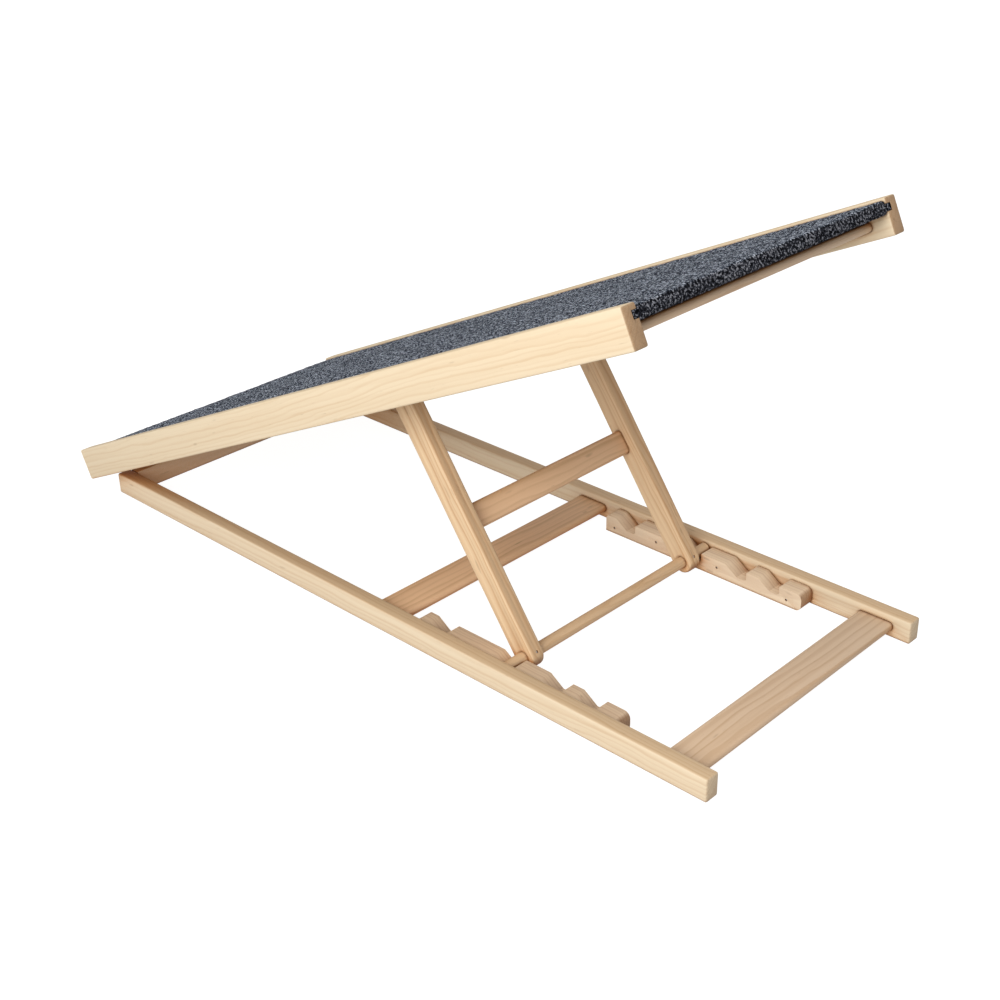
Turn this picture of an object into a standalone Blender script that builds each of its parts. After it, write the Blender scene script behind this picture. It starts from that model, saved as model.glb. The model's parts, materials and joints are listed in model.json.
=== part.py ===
"""Adjustable dog ramp: a carpeted ramp panel hinged to a notched base frame.

Three bodies make the ramp.  The base frame lies flat on the floor and carries a toothed rack inside
each of its rails.  The ramp panel is two grooved rails with a carpeted board between them, and two
butt hinges join its low end to the base.  The support frame hangs from a dowel in the ramp rails, and
its foot dowel rests in one of the four notches of the racks, which sets the ramp's height.

Units are metres, +Z is up, and +X runs from the hinged low end to the open end of the base.  The
origin is the centre of the footprint, on the floor.  Left is the left of a dog walking up the ramp.
Sizes of the base are measured from its hinge axis.  Sizes of the ramp panel are measured along the
panel (u) and square to it (w), from the lower corner of its rails.
"""

import math

import bmesh
import bpy
from mathutils import Matrix, Vector

# ---------------------------------------------------------------- clearances
GAP = 0.0003                   # between pieces that touch
SLIP = 0.0010                  # dowel end to the bottom of its hole, board edge to its groove
DRILL_PROUD = 0.0010           # cutters start this far outside what they cut

# ---------------------------------------------------------------- ramp panel
RAMP_LENGTH = 1.000
RAMP_WIDTH = 0.432             # over the rails
RAMP_RAIL_WIDTH = 0.019
RAMP_RAIL_HEIGHT = 0.040
RAMP_RAIL_ROUND = 0.0022
GROOVE_FLOOR = 0.0254          # lower cheek of the groove, above the bottom of the rail
GROOVE_HEIGHT = 0.0084
GROOVE_DEPTH = 0.0082
CARPET_PILE = 0.0040           # thickness on top of the board
CARPET_WRAP = 0.0030           # thickness round the ends and underneath
CARPET_RETURN = 0.030          # length turned under the board at each end
CARPET_END_ROUND = 0.0032
RAMP_SLAT_DROP = 0.0024        # top of the flat slats below the carpet's returns
RAMP_END_SLAT_INSET = 0.024    # high end of the rails to the near edge of the end slat
RAMP_MID_SLAT_U = 0.3125       # low end of the rails to the middle of the mid slat
RAMP_HINGE_RAIL_WIDTH = 0.016

# ---------------------------------------------------------------- flat slats
SLAT_WIDTH = 0.045
SLAT_THICKNESS = 0.0100
SLAT_ROUND = 0.46              # edge rounding, as a share of the thickness
TENON = 0.0080                 # depth of every mortise
TENON_SHOULDER = 0.24          # each shoulder of a cross rail's stub tenon, as a share of the rail
CROSS_RAIL_ROUND = 0.0012

# ---------------------------------------------------------------- base frame
BASE_LENGTH = 0.957
BASE_SIDE_GAP = 0.0035         # between a base rail and the ramp rail outside it
BASE_RAIL_WIDTH = 0.0185
BASE_RAIL_HEIGHT = 0.0275
BASE_RAIL_ROUND = 0.0023
BASE_HINGE_RAIL_WIDTH = 0.014
BASE_MID_SLAT_GAP = 0.0195     # between the mid slat and the racks
BASE_END_SLAT_INSET = 0.022    # open end of the rails to the near edge of the end slat

# ---------------------------------------------------------------- notched racks
RACK_WIDTH = 0.0227
RACK_HEIGHT = 0.0220
RACK_LEAD = 0.0465             # before the first upright side
RACK_TAIL = 0.0305             # beyond the last upright side
RACK_END_ROUND = 0.0075
RACK_START_ROUND = 0.0050
NOTCH_SETBACKS = (0.3725, 0.2713, 0.2050, 0.1585)  # open end of the base to each upright side, highest first
NOTCH_DEPTH = 0.0120
NOTCH_SLOPE = math.radians(34.0)
NOTCH_ROUND = 0.0040
NOTCH_LIP = 0.0008
NOTCH_IN_USE = 1               # index of the notch that holds the foot dowel
NOTCH_CLEARANCE = 0.0033       # foot dowel to the upright side, so that it lifts out
NOTCH_SLOPE_CLEARANCE = 0.0006 # foot dowel to the slope

# ---------------------------------------------------------------- support frame
LEG_WIDTH = 0.0288
LEG_THICKNESS = 0.0182
LEG_ROUND = 0.0029
LEG_SIDE_GAP = 0.0063          # between a leg and the rack beside it
LEG_REACH = 0.3160             # between the axes of the two dowels
PIVOT_U = 0.5812               # pivot dowel along the ramp rail
PIVOT_HEADROOM = 0.0010        # round end of a leg below the bottom of the board's groove
FOOT_DOWEL_RADIUS = 0.00695
PIVOT_DOWEL_RADIUS = 0.0060
PIVOT_SOCKET = 0.0105          # depth of the pivot dowel's hole in each ramp rail
SUPPORT_SLAT_HEIGHT = 0.029
SUPPORT_SLAT_REACH = 0.158     # foot dowel's axis to the middle of the slat
SUPPORT_SLAT_SETBACK = 0.0035  # the slat's middle, behind the middle of the legs

# ---------------------------------------------------------------- butt hinges
HINGE_SPACING = 0.240          # between the middles of the two hinges
HINGE_LENGTH = 0.060
HINGE_LEAF_WIDTH = 0.0150
HINGE_LEAF_THICKNESS = 0.0010
HINGE_LEAF_INSET = 0.0008      # ends of the leaf's plate, inside the ends of the knuckles
HINGE_KNUCKLE_RADIUS = 0.0025
HINGE_PIN_RADIUS = 0.0011
HINGE_AXIS_RISE = 0.0015       # pin above the base rail, and below the ramp rail
HINGE_AXIS_U = 0.030           # pin along the ramp rail from its low end
HINGE_RAIL_SETBACK = 0.0030    # hinge rails start this far from the pin
SCREW_SPACING = 0.040
SCREW_HEAD_RADIUS = 0.0028
SCREW_SHANK_RADIUS = 0.0015
SCREW_LENGTH = 0.0120
SCREW_POINT = 0.0030           # length of its point
SCREW_ROW = 0.0085             # pin to the row of screws

# ---------------------------------------------------------------- brads
BRAD_RADIUS = 0.0009
BRAD_HEAD_RADIUS = 0.0013
BRAD_HEAD_HEIGHT = 0.0010
BRAD_SUNK = 0.0012             # head below the surface of the wood
BRAD_POINT = 0.0020            # length of its point
BRAD_BITE = 0.0100             # length in the second piece
RACK_BRAD_INSET = 0.0135       # first brad, from the low end of the rack
RACK_BRAD_STEPS = (0.0329, 0.0235, 0.0102)         # other brads, beyond the upright sides of their notches
RACK_BRAD_HEIGHTS = (0.0075, 0.0120, 0.0120, 0.0080)

# ---------------------------------------------------------------- derived places
HALF_RAMP = RAMP_WIDTH / 2
RAMP_INNER = HALF_RAMP - RAMP_RAIL_WIDTH
BASE_OUTER = RAMP_INNER - BASE_SIDE_GAP
BASE_INNER = BASE_OUTER - BASE_RAIL_WIDTH
RACK_INNER = BASE_INNER - GAP - RACK_WIDTH
LEG_OUTER = RACK_INNER - LEG_SIDE_GAP
LEG_MIDDLE = LEG_OUTER - LEG_THICKNESS / 2
LEG_INNER = LEG_OUTER - LEG_THICKNESS
NOTCH_WALLS = tuple(BASE_LENGTH - setback for setback in NOTCH_SETBACKS)
NOTCH_FLOOR = NOTCH_CLEARANCE + FOOT_DOWEL_RADIUS + (
    FOOT_DOWEL_RADIUS + NOTCH_SLOPE_CLEARANCE - (FOOT_DOWEL_RADIUS + GAP) * math.cos(NOTCH_SLOPE)
) / math.sin(NOTCH_SLOPE)      # from the foot of the slope to the upright side
RACK_START = NOTCH_WALLS[0] - RACK_LEAD
BASE_MID_SLAT_X = RACK_START - BASE_MID_SLAT_GAP - SLAT_WIDTH / 2
RACK_BRADS = tuple(zip(
    (RACK_START + RACK_BRAD_INSET, NOTCH_WALLS[0] + RACK_BRAD_STEPS[0],
     NOTCH_WALLS[1] + RACK_BRAD_STEPS[1], NOTCH_WALLS[3] + RACK_BRAD_STEPS[2]),
    RACK_BRAD_HEIGHTS))        # (x, z)
PIVOT_W = GROOVE_FLOOR - PIVOT_HEADROOM - LEG_WIDTH / 2
RAMP_SLAT_W = GROOVE_FLOOR - CARPET_WRAP - RAMP_SLAT_DROP - SLAT_THICKNESS / 2
HINGE_Z = BASE_RAIL_HEIGHT + HINGE_AXIS_RISE
FOOT_X = NOTCH_WALLS[NOTCH_IN_USE] - NOTCH_CLEARANCE - FOOT_DOWEL_RADIUS
FOOT_Z = RACK_HEIGHT - NOTCH_DEPTH + GAP + FOOT_DOWEL_RADIUS
BOARD_BOTTOM = GROOVE_FLOOR + GAP
BOARD_TOP = GROOVE_FLOOR + GROOVE_HEIGHT - GAP


def ramp_angle():
    """Slope of the ramp when the foot dowel rests in its notch, from the hinge-pivot-foot triangle."""
    pivot = Vector((PIVOT_U - HINGE_AXIS_U, PIVOT_W + HINGE_AXIS_RISE))
    foot = Vector((FOOT_X, FOOT_Z - HINGE_Z))
    cosine = (pivot.length_squared + foot.length_squared - LEG_REACH ** 2) / (2 * pivot.length * foot.length)
    return math.atan2(foot.y, foot.x) + math.acos(cosine) - math.atan2(pivot.y, pivot.x)


RAMP_ANGLE = ramp_angle()


def ramp_point(u, w):
    """World x and z, from the base's low end, of a point of the ramp panel's side view."""
    along, up = u - HINGE_AXIS_U, w + HINGE_AXIS_RISE
    cosine, sine = math.cos(RAMP_ANGLE), math.sin(RAMP_ANGLE)
    return along * cosine - up * sine, HINGE_Z + along * sine + up * cosine


LOW_CORNER_X = ramp_point(0, RAMP_RAIL_HEIGHT)[0]
HIGH_CORNER_X = max(BASE_LENGTH, ramp_point(RAMP_LENGTH, 0)[0])
ORIGIN_X = (LOW_CORNER_X + HIGH_CORNER_X) / 2     # middle of the footprint
PIVOT_X, PIVOT_Z = ramp_point(PIVOT_U, PIVOT_W)
LEG_ANGLE = math.atan2(PIVOT_Z - FOOT_Z, PIVOT_X - FOOT_X)   # from the foot up to the pivot

SIDES = (("left", 1), ("right", -1))


# ---------------------------------------------------------------- scene and materials
def clear_scene():
    """Remove every object of the file that the script runs in."""
    for item in list(bpy.data.objects):
        bpy.data.objects.remove(item, do_unlink=True)


def make_collection(name):
    """Add a collection to the scene."""
    collection = bpy.data.collections.new(name)
    bpy.context.scene.collection.children.link(collection)
    return collection


def make_material(name, colour, roughness, metallic=0.0):
    """Add a plain Principled material."""
    material = bpy.data.materials.new(name)
    material.use_nodes = True
    shader = material.node_tree.nodes["Principled BSDF"]
    shader.inputs["Base Color"].default_value = (*colour, 1.0)
    shader.inputs["Roughness"].default_value = roughness
    shader.inputs["Metallic"].default_value = metallic
    material.diffuse_color = (*colour, 1.0)
    return material


clear_scene()
PARTS = make_collection("dog_ramp")
CUTTERS = make_collection("cutters")
PINE = make_material("pine", (0.80, 0.62, 0.41), 0.55)
BOARD = make_material("hardboard", (0.33, 0.22, 0.13), 0.7)
CARPET = make_material("carpet", (0.13, 0.14, 0.16), 0.95)
STEEL = make_material("zinc_steel", (0.66, 0.66, 0.64), 0.35, 1.0)


# ---------------------------------------------------------------- frames that pieces are placed in
def make_frame(name, place, tilt=0.0, parent=None):
    """Add an empty at (x, z), measured in its parent, with its x axis tilted up by an angle."""
    empty = bpy.data.objects.new(name, None)
    PARTS.objects.link(empty)
    empty.empty_display_size = 0.05
    empty.parent = parent
    empty.location = (place[0], 0.0, place[1])
    empty.rotation_euler = (0.0, -tilt, 0.0)
    return empty


BASE = make_frame("base_frame", (-ORIGIN_X, 0.0))
RAMP = make_frame("ramp_frame", (0.0, HINGE_Z), RAMP_ANGLE, BASE)
PIVOT_IN_RAMP = (PIVOT_U - HINGE_AXIS_U, PIVOT_W + HINGE_AXIS_RISE)
SUPPORT = make_frame("support_frame", PIVOT_IN_RAMP, LEG_ANGLE + math.pi - RAMP_ANGLE, RAMP)


def ramp_place(u, y, w):
    """A point of the ramp panel, in the ramp's frame."""
    return Vector((u - HINGE_AXIS_U, y, w + HINGE_AXIS_RISE))


def support_place(reach, y, out):
    """A point of the support: along the legs up from the foot dowel, and out of their upper side."""
    return Vector((LEG_REACH - reach, y, out))


# ---------------------------------------------------------------- modelling helpers
def add_object(name, mesh, frame, material=None):
    """Add a mesh to the model, or to the cutters where it has no material."""
    item = bpy.data.objects.new(name, mesh)
    item.parent = frame
    if material is None:
        CUTTERS.objects.link(item)
        item.hide_render = True
        item.display_type = "WIRE"
    else:
        PARTS.objects.link(item)
        mesh.materials.append(material)
    return item


def box_mesh(name, low, high):
    """A box between two corners."""
    low, high = Vector(low), Vector(high)
    work = bmesh.new()
    bmesh.ops.create_cube(work, size=1.0)
    size, middle = high - low, (high + low) / 2
    for vertex in work.verts:
        vertex.co = Vector([middle[i] + vertex.co[i] * size[i] for i in range(3)])
    mesh = bpy.data.meshes.new(name)
    work.to_mesh(mesh)
    work.free()
    return mesh


def box(name, low, high, frame, material=None):
    """A box between two corners of a frame."""
    return add_object(name, box_mesh(name, low, high), frame, material)


def round_edges(item, width, segments=3):
    """Round every sharp edge of a piece."""
    bevel = item.modifiers.new("round", "BEVEL")
    bevel.width = width
    bevel.segments = segments
    bevel.limit_method = "ANGLE"
    bevel.angle_limit = math.radians(50)
    return item


def round_long_edges(item, width, segments=4):
    """Round the edges of a slat that run across the frame, from end to end."""
    mesh = item.data
    weights = mesh.attributes.new("bevel_weight_edge", "FLOAT", "EDGE")
    for edge in mesh.edges:
        run = mesh.vertices[edge.vertices[1]].co - mesh.vertices[edge.vertices[0]].co
        weights.data[edge.index].value = 1.0 if abs(run.y) > 0.9 * run.length else 0.0
    bevel = item.modifiers.new("round", "BEVEL")
    bevel.width = width
    bevel.segments = segments
    bevel.limit_method = "WEIGHT"
    return item


def boolean(item, other, operation):
    """Cut a piece with another object, or join it on."""
    modifier = item.modifiers.new(operation.lower(), "BOOLEAN")
    modifier.operation = operation
    modifier.object = other
    return item


def cut(item, *cutters):
    """Cut a piece with each cutter in turn."""
    for cutter in cutters:
        boolean(item, cutter, "DIFFERENCE")
    return item


def turned(name, profile, steps, frame, place, direction, material=None):
    """A turned piece.

    The profile is a list of (radius, height) that runs down the outer side from the top to the
    bottom, both on the axis.  The piece stands at a place of the frame with its axis along direction.
    """
    work = bmesh.new()
    verts = [work.verts.new((radius, 0.0, height)) for radius, height in profile]
    for first, second in zip(verts, verts[1:]):
        work.edges.new((first, second))
    mesh = bpy.data.meshes.new(name)
    work.to_mesh(mesh)
    work.free()
    item = add_object(name, mesh, frame, material)
    item.location = place
    item.rotation_euler = Vector((0, 0, 1)).rotation_difference(Vector(direction)).to_euler()
    screw = item.modifiers.new("turn", "SCREW")
    screw.steps = steps
    screw.render_steps = steps
    screw.use_merge_vertices = True
    screw.merge_threshold = 0.00001
    screw.use_smooth_shade = True
    return item


def rod_profile(radius, low, high, chamfer=0.0):
    """Profile of a round rod between two heights, with chamfered ends."""
    if chamfer:
        return [(0, high), (radius - chamfer, high), (radius, high - chamfer),
                (radius, low + chamfer), (radius - chamfer, low), (0, low)]
    return [(0, high), (radius, high), (radius, low), (0, low)]


def rod(name, radius, low, high, frame, place, direction=(0, 1, 0), material=None, chamfer=0.0, steps=28):
    """A round rod, or a drill for its hole, from low to high along a direction."""
    return turned(name, rod_profile(radius, low, high, chamfer), steps, frame, place, direction, material)


def plate(name, outline, low_y, high_y, frame, material):
    """A flat outline of (x, z) points, given a thickness along y and made a closed mesh."""
    curve = bpy.data.curves.new(name, "CURVE")
    curve.dimensions = "2D"
    curve.fill_mode = "BOTH"
    curve.extrude = (high_y - low_y) / 2
    spline = curve.splines.new("POLY")
    spline.points.add(len(outline) - 1)
    for point, (x, z) in zip(spline.points, outline):
        point.co = (x, z, 0.0, 1.0)
    spline.use_cyclic_u = True
    drawn = bpy.data.objects.new(name + "_outline", curve)
    CUTTERS.objects.link(drawn)
    bpy.context.view_layer.update()
    mesh = bpy.data.meshes.new_from_object(drawn.evaluated_get(bpy.context.evaluated_depsgraph_get()))
    bpy.data.objects.remove(drawn, do_unlink=True)
    stand = Matrix.Translation((0, (low_y + high_y) / 2, 0)) @ Matrix.Rotation(math.pi / 2, 4, "X")
    mesh.transform(stand)
    work = bmesh.new()
    work.from_mesh(mesh)
    bmesh.ops.remove_doubles(work, verts=work.verts, dist=0.000001)
    bmesh.ops.dissolve_limit(work, angle_limit=0.001, verts=work.verts, edges=work.edges)
    bmesh.ops.recalc_face_normals(work, faces=work.faces)
    work.to_mesh(mesh)
    work.free()
    mesh.name = name
    return add_object(name, mesh, frame, material)


def arc(middle, radius, start, end, steps):
    """Points of an arc from one angle to another."""
    angles = [start + (end - start) * i / steps for i in range(steps + 1)]
    return [(middle[0] + radius * math.cos(a), middle[1] + radius * math.sin(a)) for a in angles]


def fillet(before, corner, after, radius, steps):
    """Points of a round corner between two straight runs of an outline."""
    corner = Vector(corner)
    back, ahead = (Vector(before) - corner).normalized(), (Vector(after) - corner).normalized()
    half = back.angle(ahead) / 2
    middle = corner + (back + ahead).normalized() * (radius / math.sin(half))
    start = corner + back * (radius / math.tan(half)) - middle
    end = corner + ahead * (radius / math.tan(half)) - middle
    turn = start.angle_signed(end)
    points = []
    for i in range(steps + 1):
        spoke = start.copy()
        spoke.rotate(Matrix.Rotation(-turn * i / steps, 2))
        points.append(tuple(middle + spoke))
    return points


# ---------------------------------------------------------------- slats and cross rails
def slat(name, middle, size, half_length, frame, material=PINE, grow=0.0):
    """A flat slat with rounded long edges, or a cutter for its mortises where it has no material."""
    reach = Vector((size[0] / 2 + grow, half_length + grow, size[1] / 2 + grow))
    middle = Vector(middle)
    item = box(name, middle - reach, middle + reach, frame, material)
    return round_long_edges(item, SLAT_ROUND * size[1] + grow)


def tenoned_slat(name, middle, size, inner, frame):
    """Add a slat that is let into the pieces at both sides, and return the cutter of its mortises."""
    half_length = inner + TENON - GAP
    slat(name, middle, size, half_length, frame)
    return slat(name + "_mortise", middle, size, half_length, frame, None, GAP)


def tenoned_rail(name, low, high, frame):
    """A cross rail with a stub tenon at each end, with the cutter of its mortises."""
    low, high = Vector(low), Vector(high)
    size = high - low
    shoulder = Vector((TENON_SHOULDER * size.x, 0, TENON_SHOULDER * size.z))
    reach = Vector((0, TENON, 0))
    piece = round_edges(box(name, low, high, frame, PINE), CROSS_RAIL_ROUND)
    tenon = box(name + "_tenon", low + shoulder - reach, high - shoulder + reach, frame)
    boolean(piece, tenon, "UNION")
    room = Vector((GAP, GAP, GAP))
    mortise = box(name + "_mortise", low + shoulder - reach - room, high - shoulder + reach + room, frame)
    return piece, mortise


# ---------------------------------------------------------------- brads and screws
def brad(name, length, frame, place, direction):
    """Add a sunk brad, and return the drill for its hole.

    The place is on the wood's surface, and the direction points out of it.
    """
    top = -BRAD_SUNK
    neck = top - BRAD_HEAD_HEIGHT
    taper = BRAD_HEAD_RADIUS - BRAD_RADIUS
    profile = [(0, top), (BRAD_HEAD_RADIUS, top), (BRAD_HEAD_RADIUS, neck), (BRAD_RADIUS, neck - taper),
               (BRAD_RADIUS, BRAD_POINT - length), (0, -length)]
    turned(name, profile, 12, frame, place, direction, STEEL)
    shaft = BRAD_RADIUS + GAP
    mouth = BRAD_HEAD_RADIUS + GAP
    hole = [(0, DRILL_PROUD), (mouth, DRILL_PROUD), (mouth, neck - GAP), (shaft, neck - taper - GAP),
            (shaft, -length - GAP), (0, -length - GAP)]
    return turned(name + "_hole", hole, 12, frame, place, direction)


def countersunk_screw(name, frame, place, direction):
    """Add a countersunk screw, and return the drill for its hole.

    The place is on the leaf's surface, and the direction points out of it.
    """
    cone = SCREW_HEAD_RADIUS - SCREW_SHANK_RADIUS
    head, shank = SCREW_HEAD_RADIUS, SCREW_SHANK_RADIUS
    profile = [(0, 0), (head, 0), (shank, -cone), (shank, SCREW_POINT - SCREW_LENGTH), (0, -SCREW_LENGTH)]
    turned(name, profile, 16, frame, place, direction, STEEL)
    hole = [(0, DRILL_PROUD), (head + GAP + DRILL_PROUD, DRILL_PROUD), (shank + GAP, -cone),
            (shank + GAP, -SCREW_LENGTH - GAP), (0, -SCREW_LENGTH - GAP)]
    return turned(name + "_hole", hole, 16, frame, place, direction)


# ---------------------------------------------------------------- racks
def notch_outline(wall):
    """Points of one notch, from its slope to its upright side."""
    top, floor = RACK_HEIGHT, RACK_HEIGHT - NOTCH_DEPTH
    foot = (wall - NOTCH_FLOOR, floor)
    start = (foot[0] - NOTCH_DEPTH / math.tan(NOTCH_SLOPE), top)
    inner = (wall, floor)
    lip = (wall, top)
    points = [start]
    points += fillet(start, foot, inner, NOTCH_ROUND, 3)
    points += fillet(foot, inner, lip, NOTCH_ROUND, 5)
    points += [(wall, top - NOTCH_LIP), (wall + NOTCH_LIP, top)]
    return points


def rack_outline():
    """Side view of a rack, from its low end along the teeth to its high end."""
    end = NOTCH_WALLS[-1] + RACK_TAIL
    points = [(RACK_START, 0.0)]
    points += arc((RACK_START + RACK_START_ROUND, RACK_HEIGHT - RACK_START_ROUND), RACK_START_ROUND,
                  math.pi, math.pi / 2, 5)
    for wall in NOTCH_WALLS:
        points += notch_outline(wall)
    points += arc((end - RACK_END_ROUND, RACK_HEIGHT - RACK_END_ROUND), RACK_END_ROUND, math.pi / 2, 0.0, 6)
    points += arc((end - RACK_END_ROUND, RACK_END_ROUND), RACK_END_ROUND, 0.0, -math.pi / 2, 6)
    return points


# ---------------------------------------------------------------- base frame
def build_base():
    """Rails, cross pieces, racks and the brads that hold the racks."""
    mid_z = BASE_RAIL_HEIGHT / 2
    size = (SLAT_WIDTH, SLAT_THICKNESS)
    end_x = BASE_LENGTH - BASE_END_SLAT_INSET - SLAT_WIDTH / 2
    mid_mortise = tenoned_slat("base_mid_slat", (BASE_MID_SLAT_X, 0, mid_z), size, BASE_INNER, BASE)
    end_mortise = tenoned_slat("base_end_slat", (end_x, 0, mid_z), size, BASE_INNER, BASE)
    low = (HINGE_RAIL_SETBACK, -BASE_INNER + GAP, 0.0)
    high = (HINGE_RAIL_SETBACK + BASE_HINGE_RAIL_WIDTH, BASE_INNER - GAP, BASE_RAIL_HEIGHT)
    hinge_rail, hinge_mortise = tenoned_rail("base_hinge_rail", low, high, BASE)
    for side, sign in SIDES:
        faces = sorted((sign * BASE_INNER, sign * BASE_OUTER))
        rail = box("base_rail_" + side, (0, faces[0], 0), (BASE_LENGTH, faces[1], BASE_RAIL_HEIGHT), BASE, PINE)
        round_edges(rail, BASE_RAIL_ROUND)
        cut(rail, mid_mortise, end_mortise, hinge_mortise)
        build_rack(side, sign, rail)
    return hinge_rail


def build_rack(side, sign, rail):
    """One toothed rack, nailed to the inner face of its rail."""
    faces = sorted((sign * RACK_INNER, sign * (BASE_INNER - GAP)))
    rack = plate("notch_rack_" + side, rack_outline(), faces[0], faces[1], BASE, PINE)
    for number, (x, z) in enumerate(RACK_BRADS, start=1):
        place = (x, sign * RACK_INNER, z)
        name = "rack_brad_{}_{}".format(side, number)
        hole = brad(name, RACK_WIDTH + BRAD_BITE, BASE, place, (0, -sign, 0))
        cut(rack, hole)
        cut(rail, hole)


# ---------------------------------------------------------------- ramp panel
def build_ramp():
    """Grooved rails, cross pieces, board and carpet."""
    size = (SLAT_WIDTH, SLAT_THICKNESS)
    end_u = RAMP_LENGTH - RAMP_END_SLAT_INSET - SLAT_WIDTH / 2
    mid_place = ramp_place(RAMP_MID_SLAT_U, 0, RAMP_SLAT_W)
    mid_mortise = tenoned_slat("ramp_mid_slat", mid_place, size, RAMP_INNER, RAMP)
    end_mortise = tenoned_slat("ramp_end_slat", ramp_place(end_u, 0, RAMP_SLAT_W), size, RAMP_INNER, RAMP)
    start = HINGE_AXIS_U + HINGE_RAIL_SETBACK
    low = ramp_place(start, -RAMP_INNER + GAP, 0.0)
    high = ramp_place(start + RAMP_HINGE_RAIL_WIDTH, RAMP_INNER - GAP, GROOVE_FLOOR - CARPET_WRAP)
    hinge_rail, hinge_mortise = tenoned_rail("ramp_hinge_rail", low, high, RAMP)
    groove_half = RAMP_INNER + GROOVE_DEPTH
    groove = box("deck_groove", ramp_place(-DRILL_PROUD, -groove_half, GROOVE_FLOOR),
                 ramp_place(RAMP_LENGTH + DRILL_PROUD, groove_half, GROOVE_FLOOR + GROOVE_HEIGHT), RAMP)
    socket_half = RAMP_INNER + PIVOT_SOCKET
    socket = rod("pivot_socket", PIVOT_DOWEL_RADIUS + GAP, -socket_half, socket_half, RAMP,
                 ramp_place(PIVOT_U, 0, PIVOT_W))
    for side, sign in SIDES:
        faces = sorted((sign * RAMP_INNER, sign * HALF_RAMP))
        rail = box("ramp_rail_" + side, ramp_place(0, faces[0], 0),
                   ramp_place(RAMP_LENGTH, faces[1], RAMP_RAIL_HEIGHT), RAMP, PINE)
        round_edges(rail, RAMP_RAIL_ROUND)
        cut(rail, groove, mid_mortise, end_mortise, hinge_mortise, socket)
    board_half = groove_half - SLIP
    ends = CARPET_WRAP + GAP
    box("deck_board", ramp_place(ends, -board_half, BOARD_BOTTOM),
        ramp_place(RAMP_LENGTH - ends, board_half, BOARD_TOP), RAMP, BOARD)
    carpet_half = RAMP_INNER - GAP
    carpet = plate("deck_carpet", carpet_outline(), -carpet_half, carpet_half, RAMP, CARPET)
    for end, u in (("low", 0.0), ("high", RAMP_LENGTH - CARPET_WRAP)):
        tongue = box("carpet_tongue_" + end, ramp_place(u, -board_half, BOARD_BOTTOM),
                     ramp_place(u + CARPET_WRAP, board_half, BOARD_TOP), RAMP)
        boolean(carpet, tongue, "UNION")
    return hinge_rail


def carpet_outline():
    """Side view of the carpet: over the board, round both of its ends and a little way underneath."""
    top, under = BOARD_TOP + GAP + CARPET_PILE, BOARD_BOTTOM - GAP - CARPET_WRAP
    outer = []
    outer += arc((CARPET_END_ROUND, under + CARPET_END_ROUND), CARPET_END_ROUND, -math.pi / 2, -math.pi, 3)
    outer += arc((CARPET_END_ROUND, top - CARPET_END_ROUND), CARPET_END_ROUND, math.pi, math.pi / 2, 3)
    high = RAMP_LENGTH - CARPET_END_ROUND
    outer += arc((high, top - CARPET_END_ROUND), CARPET_END_ROUND, math.pi / 2, 0.0, 3)
    outer += arc((high, under + CARPET_END_ROUND), CARPET_END_ROUND, 0.0, -math.pi / 2, 3)
    low_inside, high_inside = CARPET_WRAP, RAMP_LENGTH - CARPET_WRAP
    inner_top, inner_under = BOARD_TOP + GAP, BOARD_BOTTOM - GAP
    outer += [(RAMP_LENGTH - CARPET_RETURN, under), (RAMP_LENGTH - CARPET_RETURN, inner_under),
              (high_inside, inner_under), (high_inside, inner_top), (low_inside, inner_top),
              (low_inside, inner_under), (CARPET_RETURN, inner_under), (CARPET_RETURN, under)]
    return [tuple(ramp_place(u, 0, w).xz) for u, w in outer]


# ---------------------------------------------------------------- support frame
def leg_outline():
    """Side view of a leg: straight sides with a half-round end about each dowel."""
    radius = LEG_WIDTH / 2
    points = arc((0.0, 0.0), radius, 1.5 * math.pi, 0.5 * math.pi, 12)
    points += arc((LEG_REACH, 0.0), radius, 0.5 * math.pi, -0.5 * math.pi, 12)
    return points


def build_support():
    """Legs, slat, both dowels and the brads that hold the dowels in the legs."""
    middle = support_place(SUPPORT_SLAT_REACH, 0, -SUPPORT_SLAT_SETBACK)
    size = (SUPPORT_SLAT_HEIGHT, SLAT_THICKNESS)
    mortise = tenoned_slat("support_slat", middle, size, LEG_INNER, SUPPORT)
    foot = support_place(0, 0, 0)
    pivot = support_place(LEG_REACH, 0, 0)
    foot_half = BASE_INNER - SLIP
    pivot_half = RAMP_INNER + PIVOT_SOCKET - SLIP
    foot_dowel = rod("foot_dowel", FOOT_DOWEL_RADIUS, -foot_half, foot_half, SUPPORT, foot,
                     material=PINE, chamfer=0.0012)
    pivot_dowel = rod("pivot_dowel", PIVOT_DOWEL_RADIUS, -pivot_half, pivot_half, SUPPORT, pivot,
                      material=PINE, chamfer=0.0010)
    foot_bore = rod("foot_bore", FOOT_DOWEL_RADIUS + GAP, -foot_half, foot_half, SUPPORT, foot)
    pivot_bore = rod("pivot_bore", PIVOT_DOWEL_RADIUS + GAP, -pivot_half, pivot_half, SUPPORT, pivot)
    for side, sign in SIDES:
        faces = sorted((sign * LEG_INNER, sign * LEG_OUTER))
        leg = plate("support_leg_" + side, leg_outline(), faces[0], faces[1], SUPPORT, PINE)
        round_edges(leg, LEG_ROUND)
        cut(leg, mortise, foot_bore, pivot_bore)
        for name, reach, dowel, radius in (("foot", 0, foot_dowel, FOOT_DOWEL_RADIUS),
                                           ("pivot", LEG_REACH, pivot_dowel, PIVOT_DOWEL_RADIUS)):
            place = support_place(reach, sign * LEG_MIDDLE, LEG_WIDTH / 2)
            length = LEG_WIDTH / 2 + radius / 2
            hole = brad("{}_brad_{}".format(name, side), length, SUPPORT, place, (0, 0, 1))
            cut(leg, hole)
            cut(dowel, hole)


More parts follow.
